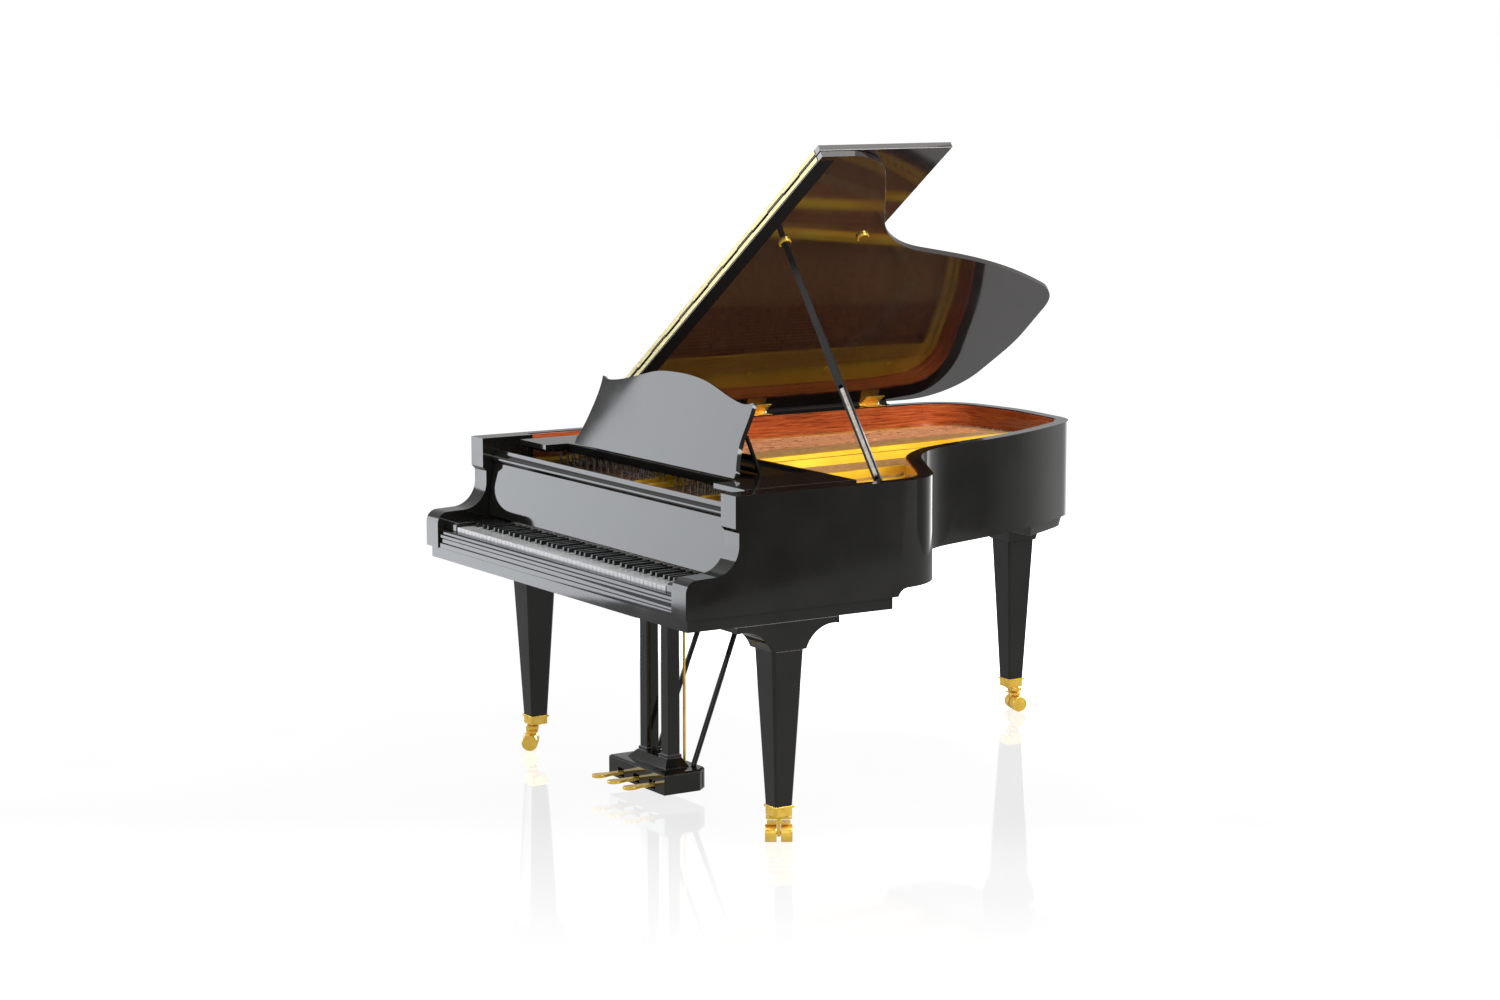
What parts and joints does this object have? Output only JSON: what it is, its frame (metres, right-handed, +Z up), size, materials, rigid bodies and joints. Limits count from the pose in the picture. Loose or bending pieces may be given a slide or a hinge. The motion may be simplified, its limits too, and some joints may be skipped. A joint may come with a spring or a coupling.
{
  "type": "grand piano",
  "caption": "Glossy black grand piano: curved case on tapered legs with brass casters, propped folding lid, music desk, hinged fallboard, keys and a pedal lyre.",
  "frame": {"origin": "on the floor, under the middle of the bounding box at rest", "axes": "+Z up, +Y from the keyboard to the tail, +X to the player's right (treble side)"},
  "size_m": [1.5466, 2.0132, 1.9082],
  "materials": {
    "black_lacquer": "high gloss black polyester lacquer on wood",
    "rim_veneer": "glossy red-brown mahogany veneer",
    "rim_wood": "plain laminated hardwood",
    "beam_wood": "plain softwood",
    "soundboard_spruce": "satin varnished spruce",
    "bridge_maple": "satin hardwood",
    "gold_plate": "gold lacquered casting",
    "pinblock_wood": "laminated hardwood",
    "steel": "drawn steel wire",
    "action_wood": "plain hardwood",
    "damper_felt": "black lacquered wood over felt",
    "ivory_keys": "glossy ivory white",
    "ebony_keys": "satin black",
    "polished_brass": "polished and lacquered"
  },
  "bodies": {
    "case": {"outer_rim": "black_lacquer", "rim_veneer": "rim_veneer", "inner_rim": "rim_wood", "keybed": "black_lacquer", "key_slip": "black_lacquer", "key_blocks": "black_lacquer", "underside_beams": "beam_wood", "soundboard": "soundboard_spruce", "soundboard_ribs": "soundboard_spruce", "bridges": "bridge_maple", "iron_plate": "gold_plate", "pinblock": "pinblock_wood", "tuning_pins": "steel", "strings": "steel", "key_frame": "action_wood", "action_stack": "action_wood", "lid_hinge_case_leaves": "polished_brass", "prop_bracket": "polished_brass", "shelf_rails": "black_lacquer", "bass_leg": "black_lacquer", "treble_leg": "black_lacquer", "tail_leg": "black_lacquer", "leg_plinths": "black_lacquer", "leg_ferrules": "polished_brass", "lyre_box": "black_lacquer", "lyre_posts": "black_lacquer", "lyre_braces": "black_lacquer"},
    "keys_c": {"keys_c": "ivory_keys"},
    "keys_d": {"keys_d": "ivory_keys"},
    "keys_e": {"keys_e": "ivory_keys"},
    "keys_f": {"keys_f": "ivory_keys"},
    "keys_g": {"keys_g": "ivory_keys"},
    "keys_a": {"keys_a": "ivory_keys"},
    "keys_b": {"keys_b": "ivory_keys"},
    "keys_black": {"keys_black": "ebony_keys"},
    "fallboard": {"fallboard": "black_lacquer"},
    "main_lid": {"main_lid": "black_lacquer", "lid_hinge_lid_leaves": "polished_brass", "prop_cups": "polished_brass", "fold_hinge_lid_leaf": "polished_brass"},
    "front_lid": {"front_lid": "black_lacquer", "fold_hinge_flap_leaf": "polished_brass"},
    "lid_prop": {"lid_prop": "black_lacquer"},
    "short_prop": {"short_prop": "steel"},
    "music_shelf": {"music_shelf": "black_lacquer"},
    "music_desk": {"music_desk": "black_lacquer"},
    "desk_strut": {"desk_strut": "black_lacquer"},
    "soft_pedal": {"soft_pedal": "polished_brass"},
    "soft_pedal_rod": {"soft_pedal_rod": "polished_brass"},
    "middle_pedal": {"middle_pedal": "polished_brass"},
    "middle_pedal_rod": {"middle_pedal_rod": "polished_brass"},
    "sustain_pedal": {"sustain_pedal": "polished_brass"},
    "sustain_pedal_rod": {"sustain_pedal_rod": "polished_brass"},
    "dampers": {"dampers": "damper_felt"},
    "treble_caster_fork": {"treble_caster_fork": "polished_brass"},
    "treble_caster_wheel": {"treble_caster_wheel": "polished_brass"},
    "bass_caster_fork": {"bass_caster_fork": "polished_brass"},
    "bass_caster_wheel": {"bass_caster_wheel": "polished_brass"},
    "tail_caster_fork": {"tail_caster_fork": "polished_brass"},
    "tail_caster_wheel": {"tail_caster_wheel": "polished_brass"}
  },
  "joints": [
    {"name": "keys_c_balance", "type": "hinge", "parent": "case", "child": "keys_c", "pos_m": [0.0113, -0.7566, 0.717], "axis": [1, 0, 0], "range_deg": [0, 2.4], "stiffness_Nm_per_rad": 20, "springref_deg": -5.73},
    {"name": "keys_d_balance", "type": "hinge", "parent": "case", "child": "keys_d", "pos_m": [0.0113, -0.7566, 0.717], "axis": [1, 0, 0], "range_deg": [0, 2.4], "stiffness_Nm_per_rad": 20, "springref_deg": -5.73},
    {"name": "keys_e_balance", "type": "hinge", "parent": "case", "child": "keys_e", "pos_m": [0.0113, -0.7566, 0.717], "axis": [1, 0, 0], "range_deg": [0, 2.4], "stiffness_Nm_per_rad": 20, "springref_deg": -5.73},
    {"name": "keys_f_balance", "type": "hinge", "parent": "case", "child": "keys_f", "pos_m": [0.0113, -0.7566, 0.717], "axis": [1, 0, 0], "range_deg": [0, 2.4], "stiffness_Nm_per_rad": 20, "springref_deg": -5.73},
    {"name": "keys_g_balance", "type": "hinge", "parent": "case", "child": "keys_g", "pos_m": [0.0113, -0.7566, 0.717], "axis": [1, 0, 0], "range_deg": [0, 2.4], "stiffness_Nm_per_rad": 20, "springref_deg": -5.73},
    {"name": "keys_a_balance", "type": "hinge", "parent": "case", "child": "keys_a", "pos_m": [0.0113, -0.7566, 0.717], "axis": [1, 0, 0], "range_deg": [0, 2.4], "stiffness_Nm_per_rad": 20, "springref_deg": -5.73},
    {"name": "keys_b_balance", "type": "hinge", "parent": "case", "child": "keys_b", "pos_m": [0.0113, -0.7566, 0.717], "axis": [1, 0, 0], "range_deg": [0, 2.4], "stiffness_Nm_per_rad": 20, "springref_deg": -5.73},
    {"name": "keys_black_balance", "type": "hinge", "parent": "case", "child": "keys_black", "pos_m": [0.0113, -0.7566, 0.717], "axis": [1, 0, 0], "range_deg": [0, 2.4], "stiffness_Nm_per_rad": 20, "springref_deg": -5.73},
    {"name": "fallboard_hinge", "type": "hinge", "parent": "case", "child": "fallboard", "pos_m": [0.0113, -0.8226, 0.768], "axis": [1, 0, 0], "range_deg": [0, 95]},
    {"name": "lid_hinge", "type": "hinge", "parent": "case", "child": "main_lid", "pos_m": [-0.7567, 0.1934, 0.997], "axis": [0, -1, 0], "range_deg": [0, 10]},
    {"name": "front_lid_fold", "type": "hinge", "parent": "main_lid", "child": "front_lid", "pos_m": [-0.767, -0.3976, 1.01176], "axis": [0.8202, 0, 0.5721], "range_deg": [0, 180]},
    {"name": "lid_prop_pivot", "type": "hinge", "parent": "case", "child": "lid_prop", "pos_m": [0.7093, -0.3306, 0.963], "axis": [-0.5518, -0.7146, -0.4299], "range_deg": [0, 54]},
    {"name": "short_prop_pivot", "type": "hinge", "parent": "lid_prop", "child": "short_prop", "pos_m": [0.68021, -0.32962, 0.99871], "axis": [0.5518, 0.7146, 0.4299], "range_deg": [0, 60]},
    {"name": "music_shelf_slide", "type": "slide", "parent": "case", "child": "music_shelf", "axis": [0, 1, 0], "range_m": [0, 0.05]},
    {"name": "music_desk_hinge", "type": "hinge", "parent": "music_shelf", "child": "music_desk", "pos_m": [0.0113, -0.6446, 0.9898], "axis": [-1, 0, 0], "range_deg": [0, 60]},
    {"name": "desk_strut_pivot", "type": "hinge", "parent": "music_desk", "child": "desk_strut", "pos_m": [0.0113, -0.5953, 1.09715], "axis": [-1, 0, 0], "range_deg": [-120, 0]},
    {"name": "soft_pedal_pivot", "type": "hinge", "parent": "case", "child": "soft_pedal", "pos_m": [0.0113, -0.6716, 0.05], "axis": [1, 0, 0], "range_deg": [0, 6], "stiffness_Nm_per_rad": 30, "springref_deg": -5.73},
    {"name": "soft_rod_slide", "type": "slide", "parent": "case", "child": "soft_pedal_rod", "axis": [0, 0, 1], "range_m": [0, 0.01]},
    {"name": "middle_pedal_pivot", "type": "hinge", "parent": "case", "child": "middle_pedal", "pos_m": [0.0113, -0.6716, 0.05], "axis": [1, 0, 0], "range_deg": [0, 6], "stiffness_Nm_per_rad": 30, "springref_deg": -5.73},
    {"name": "middle_rod_slide", "type": "slide", "parent": "case", "child": "middle_pedal_rod", "axis": [0, 0, 1], "range_m": [0, 0.01]},
    {"name": "sustain_pedal_pivot", "type": "hinge", "parent": "case", "child": "sustain_pedal", "pos_m": [0.0113, -0.6716, 0.05], "axis": [1, 0, 0], "range_deg": [0, 6], "stiffness_Nm_per_rad": 30, "springref_deg": -5.73},
    {"name": "sustain_rod_slide", "type": "slide", "parent": "case", "child": "sustain_pedal_rod", "axis": [0, 0, 1], "range_m": [0, 0.01]},
    {"name": "damper_lift", "type": "slide", "parent": "case", "child": "dampers", "axis": [0, 0, 1], "range_m": [0, 0.006]},
    {"name": "treble_caster_swivel", "type": "hinge", "parent": "case", "child": "treble_caster_fork", "pos_m": [0.7093, -0.6696, 0.062], "axis": [0, 0, 1], "continuous": true},
    {"name": "treble_caster_axle", "type": "hinge", "parent": "treble_caster_fork", "child": "treble_caster_wheel", "pos_m": [0.69504, -0.66034, 0.025], "axis": [-0.5446, -0.8387, 0], "continuous": true},
    {"name": "bass_caster_swivel", "type": "hinge", "parent": "case", "child": "bass_caster_fork", "pos_m": [-0.6867, -0.6696, 0.062], "axis": [0, 0, 1], "continuous": true},
    {"name": "bass_caster_axle", "type": "hinge", "parent": "bass_caster_fork", "child": "bass_caster_wheel", "pos_m": [-0.69596, -0.68386, 0.025], "axis": [0.8387, -0.5446, 0], "continuous": true},
    {"name": "tail_caster_swivel", "type": "hinge", "parent": "case", "child": "tail_caster_fork", "pos_m": [-0.3457, 0.9274, 0.062], "axis": [0, 0, 1], "continuous": true},
    {"name": "tail_caster_axle", "type": "hinge", "parent": "tail_caster_fork", "child": "tail_caster_wheel", "pos_m": [-0.3413, 0.94382, 0.025], "axis": [-0.9659, 0.2588, 0], "continuous": true}
  ],
  "couplings": [
    {"joint": "desk_strut_pivot", "follows": "music_desk_hinge", "ratio": -2},
    {"joint": "soft_rod_slide", "follows": "soft_pedal_pivot", "m_per_rad": 0.088},
    {"joint": "middle_rod_slide", "follows": "middle_pedal_pivot", "m_per_rad": 0.088},
    {"joint": "sustain_rod_slide", "follows": "sustain_pedal_pivot", "m_per_rad": 0.088},
    {"joint": "damper_lift", "follows": "sustain_pedal_pivot", "m_per_rad": 0.05}
  ]
}
